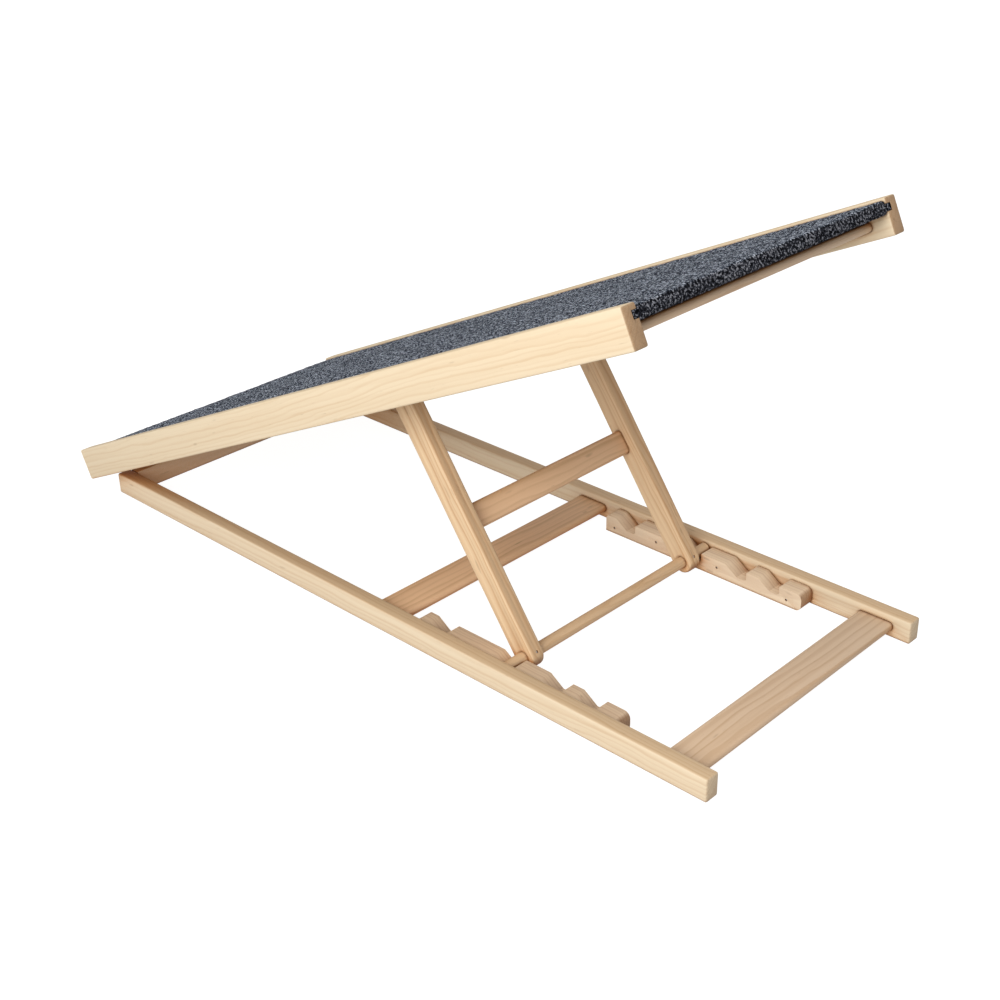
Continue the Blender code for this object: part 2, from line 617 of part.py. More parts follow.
# ---------------------------------------------------------------- butt hinges
def knuckle_spans(middle):
    """The three knuckles of a hinge along the pin: outer, middle and outer."""
    third = HINGE_LENGTH / 3
    edges = [middle - HINGE_LENGTH / 2 + third * i for i in range(4)]
    return [(edges[i] + GAP, edges[i + 1] - GAP) for i in range(3)]


def hinge_leaf(name, frame, spans, others, middle, facing, screw_holes):
    """One leaf: a plate on the wood with its share of the knuckles.

    facing is +1 for the leaf on the base, which lies under the pin, and -1 for the leaf on the ramp.
    """
    pin = hinge_pin_place(frame)
    wood = -facing * HINGE_AXIS_RISE
    heights = sorted((wood + facing * GAP, wood + facing * (GAP + HINGE_LEAF_THICKNESS)))
    half = HINGE_LENGTH / 2
    reach = half - HINGE_LEAF_INSET
    leaf = box(name, pin + Vector((0, middle - reach, heights[0])),
               pin + Vector((HINGE_LEAF_WIDTH, middle + reach, heights[1])), frame, STEEL)
    cut(leaf, *screw_holes)
    for number, (low, high) in enumerate(spans):
        tube = rod("{}_knuckle_{}".format(name, number), HINGE_KNUCKLE_RADIUS, low, high, frame, pin, steps=20)
        boolean(leaf, tube, "UNION")
    for number, (low, high) in enumerate(others):
        room = HINGE_KNUCKLE_RADIUS + GAP
        recess = box("{}_room_{}".format(name, number), pin + Vector((-room, low - GAP, -room)),
                     pin + Vector((room, high + GAP, room)), frame)
        cut(leaf, recess)
    bore = rod(name + "_bore", HINGE_PIN_RADIUS + GAP, middle - half - DRILL_PROUD, middle + half + DRILL_PROUD,
               frame, pin, steps=20)
    cut(leaf, bore)
    return leaf


def hinge_pin_place(frame):
    """Middle of the hinge line in the ramp's frame or the base's frame."""
    return Vector((0, 0, 0)) if frame is RAMP else Vector((0, 0, HINGE_Z))


def leaf_screws(name, frame, middle, facing, rail):
    """The two screws of one leaf; their holes are cut in the rail and returned for the leaf."""
    leaf_face = facing * (GAP + HINGE_LEAF_THICKNESS - HINGE_AXIS_RISE)
    holes = []
    for number, offset in enumerate((-SCREW_SPACING / 2, SCREW_SPACING / 2), start=1):
        place = hinge_pin_place(frame) + Vector((SCREW_ROW, middle + offset, leaf_face))
        hole = countersunk_screw("{}_{}".format(name, number), frame, place, (0, 0, facing))
        cut(rail, hole)
        holes.append(hole)
    return holes


def build_hinge(side, sign, base_rail, ramp_rail):
    """One butt hinge with its pin and its four screws."""
    middle = sign * HINGE_SPACING / 2
    first, centre, last = knuckle_spans(middle)
    base_holes = leaf_screws("base_hinge_screw_" + side, BASE, middle, 1, base_rail)
    hinge_leaf("hinge_base_leaf_" + side, BASE, (first, last), (centre,), middle, 1, base_holes)
    ramp_holes = leaf_screws("ramp_hinge_screw_" + side, RAMP, middle, -1, ramp_rail)
    hinge_leaf("hinge_ramp_leaf_" + side, RAMP, (centre,), (first, last), middle, -1, ramp_holes)
    half = HINGE_LENGTH / 2
    rod("hinge_pin_" + side, HINGE_PIN_RADIUS, middle - half, middle + half, BASE, (0, 0, HINGE_Z),
        material=STEEL, chamfer=0.0003, steps=16)


BASE_HINGE_RAIL = build_base()
RAMP_HINGE_RAIL = build_ramp()
build_support()
for hinge_side, hinge_sign in SIDES:
    build_hinge(hinge_side, hinge_sign, BASE_HINGE_RAIL, RAMP_HINGE_RAIL)
bpy.context.view_layer.update()
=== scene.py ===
"""Looks of the adjustable dog ramp: planed pine, a felt-carpeted deck and small steel hinges.

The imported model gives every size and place.  Each wooden node is re-cut here as a smooth,
edge-eased piece with its own growth rings, the carpet is laid as a thick felt sheet with real
lumps, and the whole stands on a pale studio floor.
"""

import json
import logging
import math
from dataclasses import dataclass, field
from enum import Enum
from typing import Dict, Optional, Sequence, Tuple

import bmesh
import bpy
import numpy as np
from mathutils import Matrix, Vector

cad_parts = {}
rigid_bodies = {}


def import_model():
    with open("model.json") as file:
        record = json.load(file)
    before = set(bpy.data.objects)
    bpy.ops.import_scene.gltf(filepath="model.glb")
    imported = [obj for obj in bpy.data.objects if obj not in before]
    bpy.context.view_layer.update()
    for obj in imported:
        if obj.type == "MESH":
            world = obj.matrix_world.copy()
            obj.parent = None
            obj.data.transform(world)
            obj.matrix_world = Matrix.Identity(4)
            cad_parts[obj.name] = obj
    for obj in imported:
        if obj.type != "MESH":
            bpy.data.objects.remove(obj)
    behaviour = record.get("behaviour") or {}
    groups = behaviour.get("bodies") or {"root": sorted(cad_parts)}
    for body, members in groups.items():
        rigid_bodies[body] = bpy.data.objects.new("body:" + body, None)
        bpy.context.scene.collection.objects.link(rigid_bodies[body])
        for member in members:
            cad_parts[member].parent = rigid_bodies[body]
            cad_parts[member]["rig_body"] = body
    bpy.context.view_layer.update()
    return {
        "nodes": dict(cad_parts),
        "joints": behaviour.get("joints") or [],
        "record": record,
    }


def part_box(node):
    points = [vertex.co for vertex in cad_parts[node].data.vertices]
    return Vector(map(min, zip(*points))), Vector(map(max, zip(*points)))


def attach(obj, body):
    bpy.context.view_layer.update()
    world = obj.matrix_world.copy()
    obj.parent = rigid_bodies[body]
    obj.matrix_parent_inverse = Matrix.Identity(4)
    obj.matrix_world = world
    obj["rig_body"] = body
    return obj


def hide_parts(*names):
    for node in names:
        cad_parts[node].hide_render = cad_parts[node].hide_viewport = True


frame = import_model()

MM = 0.001
PER_METRE = 1000
WELD = 0.000002
BOARD_GAP = 0.3 * MM
LOG = logging.getLogger("dog_ramp")

Colour = Tuple[float, float, float]
Stops = Sequence[Tuple[float, float]]
Socket = bpy.types.NodeSocket

WHITE: Colour = (1.0, 1.0, 1.0)


# ------------------------------------------------------------------ the ramp's own directions
def middle_of(node: str) -> Vector:
    """The middle of a CAD node's box."""
    low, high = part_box(node)
    return (low + high) / 2


@dataclass(frozen=True)
class Directions:
    """The directions that the pieces are cut and laid along.

    Args:
        ramp_run: Up the walking surface.
        ramp_rise: Square out of the walking surface.
        leg_run: From the foot dowel up to the pivot dowel.
        leg_rise: Square to the legs, in the ramp's side view.
    """

    ramp_run: Vector
    ramp_rise: Vector
    leg_run: Vector
    leg_rise: Vector

    @classmethod
    def from_frame(cls) -> "Directions":
        """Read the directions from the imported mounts, joints and foot dowel.

        Returns:
            The directions at rest.
        """
        axes = {mount["name"]: Vector(mount["axis"]) for mount in frame["record"]["mounts"]}
        pivot = next(Vector(j["pos_m"]) for j in frame["joints"] if j["name"] == "support_pivot")
        foot = middle_of("foot_dowel")
        leg = Vector((pivot.x - foot.x, 0.0, pivot.z - foot.z)).normalized()
        leg_rise = Vector((leg.z, 0.0, -leg.x))
        return cls(axes["high_end_left"], axes["walking_surface"], leg, leg_rise)


ALONG_BASE = Vector((1.0, 0.0, 0.0))
ACROSS = Vector((0.0, 1.0, 0.0))
UPWARD = Vector((0.0, 0.0, 1.0))
WAYS = Directions.from_frame()


# ------------------------------------------------------------------ shader bench
MIX_SHARE, MIX_FIRST, MIX_SECOND, MIX_RESULT = 0, 6, 7, 2
# Samples of the occlusion that painted shade is read from.
SHADE_SAMPLES = 8


@dataclass(frozen=True)
class Speckle:
    """One layer of noise.

    Args:
        scale: Its scale along each axis, per metre.
        seed: Number that makes it unlike the other layers.
        detail: How many finer layers it holds.
        roughness: How strong the finer layers are.
    """

    scale: Tuple[float, float, float]
    seed: float
    detail: float = 2.0
    roughness: float = 0.5


class ShaderBench:
    """A material under construction, with short ways to add and join its nodes."""

    def __init__(self, name: str, roughness: float, specular: float = 0.5,
                 metallic: float = 0.0) -> None:
        """Start a Principled material.

        Args:
            name: The material's name.
            roughness: Roughness where no node sets it.
            specular: Specular level of the whole surface.
            metallic: Metallic value of the whole surface.
        """
        self.material = bpy.data.materials.new(name)
        self.material.use_nodes = True
        self.tree = self.material.node_tree
        self.shader = self.tree.nodes["Principled BSDF"]
        self.shader.inputs["Roughness"].default_value = roughness
        self.shader.inputs["Specular IOR Level"].default_value = specular
        self.shader.inputs["Metallic"].default_value = metallic

    def node(self, kind: str, links: Optional[Dict[object, object]] = None,
             **settings: object) -> bpy.types.Node:
        """Add a node.

        Args:
            kind: The node's type name, without its ShaderNode prefix.
            links: Input name or number to a value or a socket.
            **settings: Properties set on the node.

        Returns:
            The new node.
        """
        made = self.tree.nodes.new("ShaderNode" + kind)
        for key, value in settings.items():
            setattr(made, key, value)
        for key, value in (links or {}).items():
            if isinstance(value, Socket):
                self.tree.links.new(value, made.inputs[key])
            else:
                made.inputs[key].default_value = value
        return made

    def math(self, operation: str, first: object, second: object = 0.0, third: object = 0.0,
             clamp: bool = False) -> Socket:
        """Add a Math node and return its value."""
        links = {0: first, 1: second, 2: third}
        return self.node("Math", links, operation=operation, use_clamp=clamp).outputs[0]

    def level(self, value: Socket, gain: float, base: object, clamp: bool = False) -> Socket:
        """A value times a gain, plus a base."""
        return self.math("MULTIPLY_ADD", value, gain, base, clamp=clamp)

    def mix(self, share: object, first: object, second: object, blend: str = "MIX") -> Socket:
        """Mix two colours.

        Args:
            share: How much of the second colour there is, as a number or a socket.
            first: A colour or a socket.
            second: A colour or a socket.
            blend: How the second colour is laid over the first.

        Returns:
            The mixed colour.
        """
        made = self.node("Mix", data_type="RGBA", blend_type=blend, clamp_factor=True)
        for place, value in ((MIX_SHARE, share), (MIX_FIRST, first), (MIX_SECOND, second)):
            if isinstance(value, Socket):
                self.tree.links.new(value, made.inputs[place])
            else:
                plain = isinstance(value, float)
                made.inputs[place].default_value = value if plain else (*value, 1.0)
        return made.outputs[MIX_RESULT]

    def tinted(self, share: Socket, colour: Socket, tint: object) -> Socket:
        """A colour with a tint multiplied in by a share."""
        return self.mix(share, colour, self.mix(1.0, colour, tint, "MULTIPLY"))

    def ramp(self, value: Socket, stops: Stops) -> Socket:
        """Bend a value through grey stops.

        Args:
            value: The value.
            stops: Pairs of a place, from 0 to 1, and the level there.

        Returns:
            The bent value.
        """
        made = self.node("ValToRGB", {0: value})
        ramp = made.color_ramp
        ramp.interpolation = "EASE"
        while len(ramp.elements) < len(stops):
            ramp.elements.new(0.5)
        for element, (place, level) in zip(ramp.elements, stops):
            element.position = place
            element.color = (level, level, level, 1.0)
        return made.outputs[0]

    def stretched(self, vector: Socket, scale: Tuple[float, float, float]) -> Socket:
        """Scale a vector by its own amount along each axis."""
        return self.node("VectorMath", {0: vector, 1: scale}, operation="MULTIPLY").outputs[0]

    def noise(self, vector: Socket, layer: Speckle, seed: float = 0.0) -> Socket:
        """Add a layer of noise about 0.5.

        Args:
            vector: The place that it is read at.
            layer: The layer of noise.
            seed: Number that the layer's own seed is added to.

        Returns:
            The noise.
        """
        links = {"Vector": self.stretched(vector, layer.scale), "W": seed + layer.seed,
                 "Scale": 1.0, "Detail": layer.detail, "Roughness": layer.roughness}
        return self.node("TexNoise", links, noise_dimensions="4D").outputs[0]

    def towards(self, normal: Socket, way: Vector) -> Socket:
        """How far a face looks along a direction, from -1 to 1."""
        made = self.node("VectorMath", {0: normal, 1: way}, operation="DOT_PRODUCT")
        return made.outputs["Value"]

    def occlusion_shade(self, reach: float, stops: Stops) -> Socket:
        """Painted shade: how much other surfaces within a reach hide this one, bent through grey
        stops.
        """
        links = {"Distance": reach}
        nearby = self.node("AmbientOcclusion", links, samples=SHADE_SAMPLES).outputs["AO"]
        return self.ramp(nearby, stops)

    def bump(self, height: Socket, distance: float, strength: float) -> Socket:
        """Turn a height into a normal."""
        links = {"Height": height, "Distance": distance, "Strength": strength}
        return self.node("Bump", links).outputs[0]

    def wire(self, **sockets: Socket) -> None:
        """Join sockets to the shader's inputs, named with underscores for spaces."""
        for name, socket in sockets.items():
            self.tree.links.new(socket, self.shader.inputs[name.replace("_", " ")])


# ------------------------------------------------------------------ pine
class Cut(Enum):
    """How a stick was sawn: how far its pith lies from its middle, across and below the face."""

    FLAT = (0.006, 0.060)
    RIFT = (0.045, 0.050)
    TURNED = (0.020, 0.030)


# Layers of the wood's figure, scaled along, across and out of the stick.
FIBRE = Speckle((22.0, 900.0, 900.0), 3.1, 3.0, 0.6)
STREAK = Speckle((3.0, 130.0, 130.0), 5.7)
CLOUD = Speckle((5.0, 26.0, 26.0), 8.3)
RESIN_DUCT = Speckle((75.0, 1500.0, 1500.0), 9.9, 1.0)
RESIN_FLECK = Speckle((30.0, 140.0, 140.0), 12.4, 1.0)
END_PORE = Speckle((500.0, 1400.0, 1400.0), 15.0, 2.0, 0.7)
RING_BENDS = (Speckle((2.4, 9.0, 9.0), 20.0, 1.0), Speckle((2.4, 9.0, 9.0), 40.0, 1.0))
RING_RIPPLE = Speckle((12.0, 50.0, 50.0), 61.0)

# Where each layer starts to show, and how much; and where the painted shade in corners and in
# hidden places starts, how much, and how far it looks.
DUCT_STOPS: Stops = ((0.70, 0.0), (0.80, 1.0))
FLECK_STOPS: Stops = ((0.70, 0.0), (0.78, 1.0))
PORE_STOPS: Stops = ((0.40, 0.0), (0.62, 1.0))
CORNER_SHADE_STOPS: Stops = ((0.20, 1.0), (0.55, 0.60), (0.80, 0.0))
HIDDEN_SHADE_STOPS: Stops = ((0.14, 1.0), (0.45, 0.0))
RING_STOPS: Stops = ((0.0, 0.12), (0.12, 0.0), (0.52, 0.18), (0.82, 0.95), (0.92, 0.90),
                     (1.0, 0.12))
CORNER_SHADE_REACH = 0.005
HIDDEN_SHADE_REACH = 0.20

# How squarely a face must look across or along the stick to count as a narrow face, which takes
# painted shade, or as an end.
EDGE_SPAN = (0.55, 0.95)
END_SPAN = (0.32, 0.80)

# Shares of the darker wood that each layer lays on, and how dark the resin and the pores are.
CLOUD_SHARE, FIBRE_SHARE, DUCT_SHARE, FLECK_SHARE = 0.22, 0.5, 0.35, 0.45
DUCT_TONE, FLECK_TONE, PORE_TONE = 0.55, 0.62, 0.80

# Growth rings: how far they bend and ripple, how they taper along the stick, how uneven they are.
RING_BEND, RING_RIPPLE_HEIGHT, RING_TAPER = 0.020, 0.0080, 0.011
RING_UNEVEN_SCALE, RING_UNEVEN = 90.0, 1.6

# Relief of the planed face: shares of fibre and ring, then depth and strength.
FIBRE_RELIEF, RING_RELIEF = 0.6, 0.4
PINE_DEPTH, PINE_BUMP = 0.00012, 0.55


@dataclass(frozen=True)
class PineFinish:
    """Planed pine under a thin clear satin coat, with painted shade on its narrow faces, in its
    corners and joints, and where other wood hides it.

    Args:
        early: Pale wood between the rings.
        late: Darker wood of each ring's last growth.
        edge: Painted shade on the narrow faces, multiplied in.
        end: Tint of the end grain, multiplied in.
        ring: Mean width of a growth ring.
        figure: How strongly the rings show.
        corner_shade: Painted shade in corners and joints, multiplied in.
        hidden_shade: Painted shade, with painted warm bounce light, on wood that other wood hides,
            multiplied in.
        roughness: Roughness of the plain coat.
        gloss: Specular level of the coat.
    """

    early: Colour = (0.83, 0.69, 0.50)
    late: Colour = (0.66, 0.46, 0.27)
    edge: Colour = (0.86, 0.77, 0.67)
    end: Colour = (0.60, 0.47, 0.38)
    ring: float = 0.0046
    figure: float = 0.42
    corner_shade: Colour = (0.40, 0.25, 0.15)
    hidden_shade: Colour = (0.84, 0.54, 0.30)
    roughness: float = 0.56
    gloss: float = 0.42

    def dress(self, name: str, middle: Vector, along: Vector, face: Vector, cut: Cut,
              seed: float) -> bpy.types.Material:
        """Make the material of one stick.

        Args:
            name: The stick's name.
            middle: Its middle, which the rings are placed from.
            along: Direction of its grain.
            face: Direction out of its wide face.
            cut: How it was sawn.
            seed: Number that makes its figure its own.

        Returns:
            The material.
        """
        bench = ShaderBench("pine_" + name, self.roughness, self.gloss)
        across = face.cross(along).normalized()
        turn = Matrix((along, across, face)).transposed().to_euler()
        source = bench.node("TexCoord")
        links = {"Vector": source.outputs["Object"], "Location": middle, "Rotation": turn}
        place = bench.node("Mapping", links, vector_type="TEXTURE").outputs[0]
        late, band = self._rings(bench, place, cut, seed)
        fibre = bench.noise(place, FIBRE, seed)
        colour = self._figure(bench, place, seed, fibre, late, band)
        normal = source.outputs["Normal"]
        narrow_face_shade = self._facing(bench, normal, across, EDGE_SPAN)
        on_end = self._facing(bench, normal, along, END_SPAN)
        # Painted shade: the narrow faces are darkened by the edge tint.
        colour = bench.mix(narrow_face_shade, colour, self.edge, "MULTIPLY")
        pores = bench.ramp(bench.noise(place, END_PORE, seed), PORE_STOPS)
        end_tint = bench.mix(pores, self._tone(self.end, PORE_TONE), self.end)
        colour = bench.tinted(on_end, colour, end_tint)
        # Painted shade: corners and joints are darkened by nearby occlusion, and wood hidden under
        # other wood is darkened and warmed as if by bounce light.
        colour = bench.tinted(bench.occlusion_shade(CORNER_SHADE_REACH, CORNER_SHADE_STOPS), colour, self.corner_shade)
        colour = bench.tinted(bench.occlusion_shade(HIDDEN_SHADE_REACH, HIDDEN_SHADE_STOPS), colour, self.hidden_shade)
        height = bench.math("ADD", bench.math("MULTIPLY", fibre, FIBRE_RELIEF),
                            bench.math("MULTIPLY", late, RING_RELIEF))
        rough = bench.level(fibre, gain=0.16, base=0.46)
        bench.wire(Base_Color=colour, Roughness=rough,
                   Normal=bench.bump(height, PINE_DEPTH, PINE_BUMP))
        return bench.material

    def _figure(self, bench: ShaderBench, place: Socket, seed: float, fibre: Socket, late: Socket,
                band: Socket) -> Socket:
        """Colour of the planed face, before its edges, ends and corners are tinted.

        Args:
            bench: The material under construction.
            place: A point, along, across and out of the stick.
            seed: The stick's own number.
            fibre: The fine fibre.
            late: How late in its ring the point is.
            band: How strong that ring is.

        Returns:
            The colour.
        """
        streak = bench.noise(place, STREAK, seed)
        cloud = bench.noise(place, CLOUD, seed)
        ducts = bench.ramp(bench.noise(place, RESIN_DUCT, seed), DUCT_STOPS)
        flecks = bench.ramp(bench.noise(place, RESIN_FLECK, seed), FLECK_STOPS)
        strength = bench.level(band, gain=0.80 * self.figure, base=0.35 * self.figure)
        rings = bench.math("MULTIPLY", late, strength)
        streaks = bench.level(streak, gain=0.50 + self.figure, base=-0.20 - 0.45 * self.figure)
        colour = bench.mix(bench.math("ADD", rings, streaks, clamp=True), self.early, self.late)
        colour = bench.mix(bench.level(cloud, gain=0.9, base=-0.30, clamp=True), colour,
                           bench.mix(CLOUD_SHARE, colour, self.late))
        colour = bench.mix(bench.level(fibre, gain=0.34, base=-0.10, clamp=True), colour,
                           bench.mix(FIBRE_SHARE, colour, self.late))
        colour = bench.mix(bench.math("MULTIPLY", ducts, DUCT_SHARE), colour,
                           self._tone(self.late, DUCT_TONE))
        return bench.mix(bench.math("MULTIPLY", flecks, FLECK_SHARE), colour,
                         self._tone(self.late, FLECK_TONE))

    def _rings(self, bench: ShaderBench, place: Socket, cut: Cut,
               seed: float) -> Tuple[Socket, Socket]:
        """Growth rings about the pith, bent by slow noise.

        Args:
            bench: The material under construction.
            place: A point, along, across and out of the stick.
            cut: Where the pith lies.
            seed: The stick's own number.

        Returns:
            How late in its ring the point is, and how strong that ring is.
        """
        parts = bench.node("SeparateXYZ", {0: place})
        bends = [bench.level(bench.noise(place, layer, seed), RING_BEND, -RING_BEND / 2)
                 for layer in RING_BENDS]
        ripple = bench.level(bench.noise(place, RING_RIPPLE, seed), RING_RIPPLE_HEIGHT,
                             -RING_RIPPLE_HEIGHT / 2)
        offsets = [bench.math("ADD", bench.math("ADD", parts.outputs[1 + i], cut.value[i]), bend)
                   for i, bend in enumerate(bends)]
        squares = [bench.math("MULTIPLY", offset, offset) for offset in offsets]
        radius = bench.math("SQRT", bench.math("ADD", squares[0], squares[1]))
        radius = bench.math("ADD", bench.level(parts.outputs[0], RING_TAPER, ripple), radius)
        links = {"W": bench.math("MULTIPLY", radius, RING_UNEVEN_SCALE), "Scale": 1.0,
                 "Detail": 1.0}
        uneven = bench.node("TexNoise", links, noise_dimensions="1D").outputs[0]
        phase = bench.math("ADD", bench.math("MULTIPLY", radius, 1.0 / self.ring),
                           bench.math("MULTIPLY", uneven, RING_UNEVEN))
        late = bench.ramp(bench.math("FRACT", phase), RING_STOPS)
        links = {"W": bench.math("FLOOR", phase)}
        band = bench.node("TexWhiteNoise", links, noise_dimensions="1D").outputs[0]
        return late, band

    @staticmethod
    def _tone(colour: Colour, share: float) -> Colour:
        """A colour times a share."""
        return tuple(channel * share for channel in colour)

    @staticmethod
    def _facing(bench: ShaderBench, normal: Socket, way: Vector,
                span: Tuple[float, float]) -> Socket:
        """How squarely a face looks along a direction, either way.

        Args:
            bench: The material under construction.
            normal: The face's normal.
            way: The direction.
            span: Cosines where the answer is 0 and where it is 1.

        Returns:
            The answer, from 0 to 1.
        """
        past = bench.math("SUBTRACT", bench.math("ABSOLUTE", bench.towards(normal, way)), span[0])
        return bench.math("DIVIDE", past, span[1] - span[0], clamp=True)


# Each finish's edge colour is painted shade on its sticks' narrow faces.
PALE_PINE = PineFinish(end=(0.92, 0.88, 0.84))
CREAM_PINE = PineFinish(early=(0.84, 0.70, 0.50), late=(0.68, 0.48, 0.28),
                        edge=(0.98, 0.95, 0.90), ring=0.0040, figure=0.38)
TAN_PINE = PineFinish(early=(0.76, 0.57, 0.40), late=(0.58, 0.38, 0.22),
                      edge=(0.95, 0.92, 0.89), ring=0.0070, figure=0.70)
PINK_PINE = PineFinish(early=(0.87, 0.70, 0.51), late=(0.64, 0.45, 0.30),
                       edge=(0.95, 0.91, 0.87), figure=0.55)
LEG_PINE = PineFinish(early=(0.84, 0.63, 0.40), late=(0.66, 0.42, 0.23),
                      edge=(0.88, 0.82, 0.76), figure=0.75)
DUSKY_PINE = PineFinish(early=(0.85, 0.56, 0.34), late=(0.58, 0.35, 0.18),
                        edge=(0.95, 0.92, 0.89), ring=0.0060, figure=0.60)
ROD_PINE = PineFinish(early=(0.76, 0.53, 0.32), late=(0.62, 0.39, 0.20), edge=WHITE, figure=0.60)


# ------------------------------------------------------------------ the other finishes
@dataclass(frozen=True)
class FeltFinish:
    """Needle-felt carpet: blue-grey fibre with black and pale flecks, with painted shade where it
    turns away from up and beside the wood.

    Args:
        dark: The black flecks.
        body: The felt between the flecks.
        pale: The pale flecks.
        fleck: Size of a fleck.
        wrap: Painted shade on the felt round the board's ends, at its cut edges and beside the
            wood, multiplied in.
        edge_reach: How near the wood must be for the felt to take that painted shade.
    """

    dark: Colour = (0.006, 0.007, 0.010)
    body: Colour = (0.072, 0.085, 0.116)
    pale: Colour = (0.62, 0.68, 0.78)
    fleck: float = 0.0026
    wrap: Colour = (0.44, 0.41, 0.40)
    edge_reach: float = 0.006

    def dress(self, name: str) -> bpy.types.Material:
        """Make the felt's material.

        Args:
            name: The material's name.

        Returns:
            The material.
        """
        bench = ShaderBench(name, roughness=0.98, specular=0.04)
        point = bench.node("TexCoord").outputs["Object"]
        scale = 1.0 / self.fleck
        coarse = bench.noise(point, Speckle((scale,) * 3, 1.0, 2.0, 0.7))
        fine = bench.noise(point, Speckle((2.4 * scale,) * 3, 4.0, 2.0, 0.6))
        patch = bench.noise(point, Speckle((30.0, 30.0, 30.0), 7.0))
        fibre = bench.math("ADD", bench.math("MULTIPLY", coarse, 0.70),
                           bench.math("MULTIPLY", fine, 0.30))
        fibre = bench.math("ADD", fibre, bench.level(patch, gain=0.06, base=-0.03))
        colour = bench.mix(bench.ramp(fibre, ((0.46, 0.0), (0.50, 1.0))), self.dark, self.body)
        colour = bench.mix(bench.ramp(fibre, ((0.53, 0.0), (0.57, 1.0))), colour, self.pale)
        # Painted shade: the felt darkens where it turns away from up, round the board's ends and at
        # its cut edges, and where wood lies near it.
        facing = bench.towards(bench.node("NewGeometry").outputs["Normal"], WAYS.ramp_rise)
        colour = bench.tinted(bench.ramp(facing, ((0.35, 1.0), (0.90, 0.0))), colour, self.wrap)
        shade_beside_wood = bench.occlusion_shade(self.edge_reach, ((0.35, 0.9), (0.85, 0.0)))
        colour = bench.tinted(shade_beside_wood, colour, self.wrap)
        bench.wire(Base_Color=colour, Normal=bench.bump(fibre, distance=0.0015, strength=1.0))
        return bench.material


@dataclass(frozen=True)
class SteelFinish:
    """Zinc-plated steel, faintly clouded and finely scratched.

    Args:
        bright: The plating.
        dull: The plating where it is clouded.
    """

    bright: Colour = (0.62, 0.63, 0.63)
    dull: Colour = tuple(channel * 0.72 for channel in bright)

    def dress(self, name: str) -> bpy.types.Material:
        """Make the steel's material.

        Args:
            name: The material's name.

        Returns:
            The material.
        """
        bench = ShaderBench(name, roughness=0.36, specular=0.5, metallic=1.0)
        point = bench.node("TexCoord").outputs["Object"]
        cloud = bench.noise(point, Speckle((160.0, 160.0, 160.0), 2.0, 3.0))
        scratch = bench.noise(point, Speckle((2600.0, 220.0, 2600.0), 5.0))
        rough = bench.level(cloud, gain=0.30, base=0.22)
        bench.wire(Base_Color=bench.mix(cloud, self.bright, self.dull), Roughness=rough,
                   Normal=bench.bump(scratch, distance=0.00004, strength=0.5))
        return bench.material


@dataclass(frozen=True)
class HardboardFinish:
    """Hardboard: pressed brown fibre with darker specks.

    Args:
        light: The fibre.
        deep: The specks.
    """

    light: Colour = (0.46, 0.31, 0.18)
    deep: Colour = (0.25, 0.15, 0.08)

    def dress(self, name: str) -> bpy.types.Material:
        """Make the board's material.

        Args:
            name: The material's name.

        Returns:
            The material.
        """
        bench = ShaderBench(name, roughness=0.72, specular=0.35)
        point = bench.node("TexCoord").outputs["Object"]
        fibre = bench.noise(point, Speckle((420.0, 420.0, 420.0), 3.0, 4.0, 0.7))
        cloud = bench.noise(point, Speckle((22.0, 22.0, 22.0), 6.0))
        share = bench.math("ADD", bench.math("MULTIPLY", fibre, 0.75),
                           bench.math("MULTIPLY", cloud, 0.25))
        colour = bench.mix(bench.ramp(share, ((0.36, 0.0), (0.62, 1.0))), self.deep, self.light)
        bench.wire(Base_Color=colour, Normal=bench.bump(fibre, distance=0.0003, strength=0.6))
        return bench.material


# ------------------------------------------------------------------ making pieces
# Angles between faces: merged as flat, eased as a sharp edge, left as a crease in the shading.
FLAT_ANGLE = math.radians(0.5)
EASED_ANGLE = math.radians(50)
CREASE_ANGLE = math.radians(38)
FELT_CREASE_ANGLE = math.radians(60)


def new_piece(name: str, mesh: bpy.types.Mesh, body: str, material: bpy.types.Material,
              stands_for: Sequence[str]) -> bpy.types.Object:
    """Add a piece to the scene and let it ride on a body.

    Args:
        name: The piece's name.
        mesh: Its mesh, in place.
        body: The CAD body that it rides on.
        material: Its only material.
        stands_for: CAD nodes that it replaces.

    Returns:
        The new object.
    """
    piece = bpy.data.objects.new(name, mesh)
    bpy.context.scene.collection.objects.link(piece)
    mesh.materials.clear()
    mesh.materials.append(material)
    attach(piece, body)
    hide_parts(*stands_for)
    LOG.info("%s: %d faces on %s", name, len(mesh.polygons), body)
    return piece


def body_of_node(node: str) -> str:
    """The CAD body that a node belongs to."""
    return frame["nodes"][node]["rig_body"]


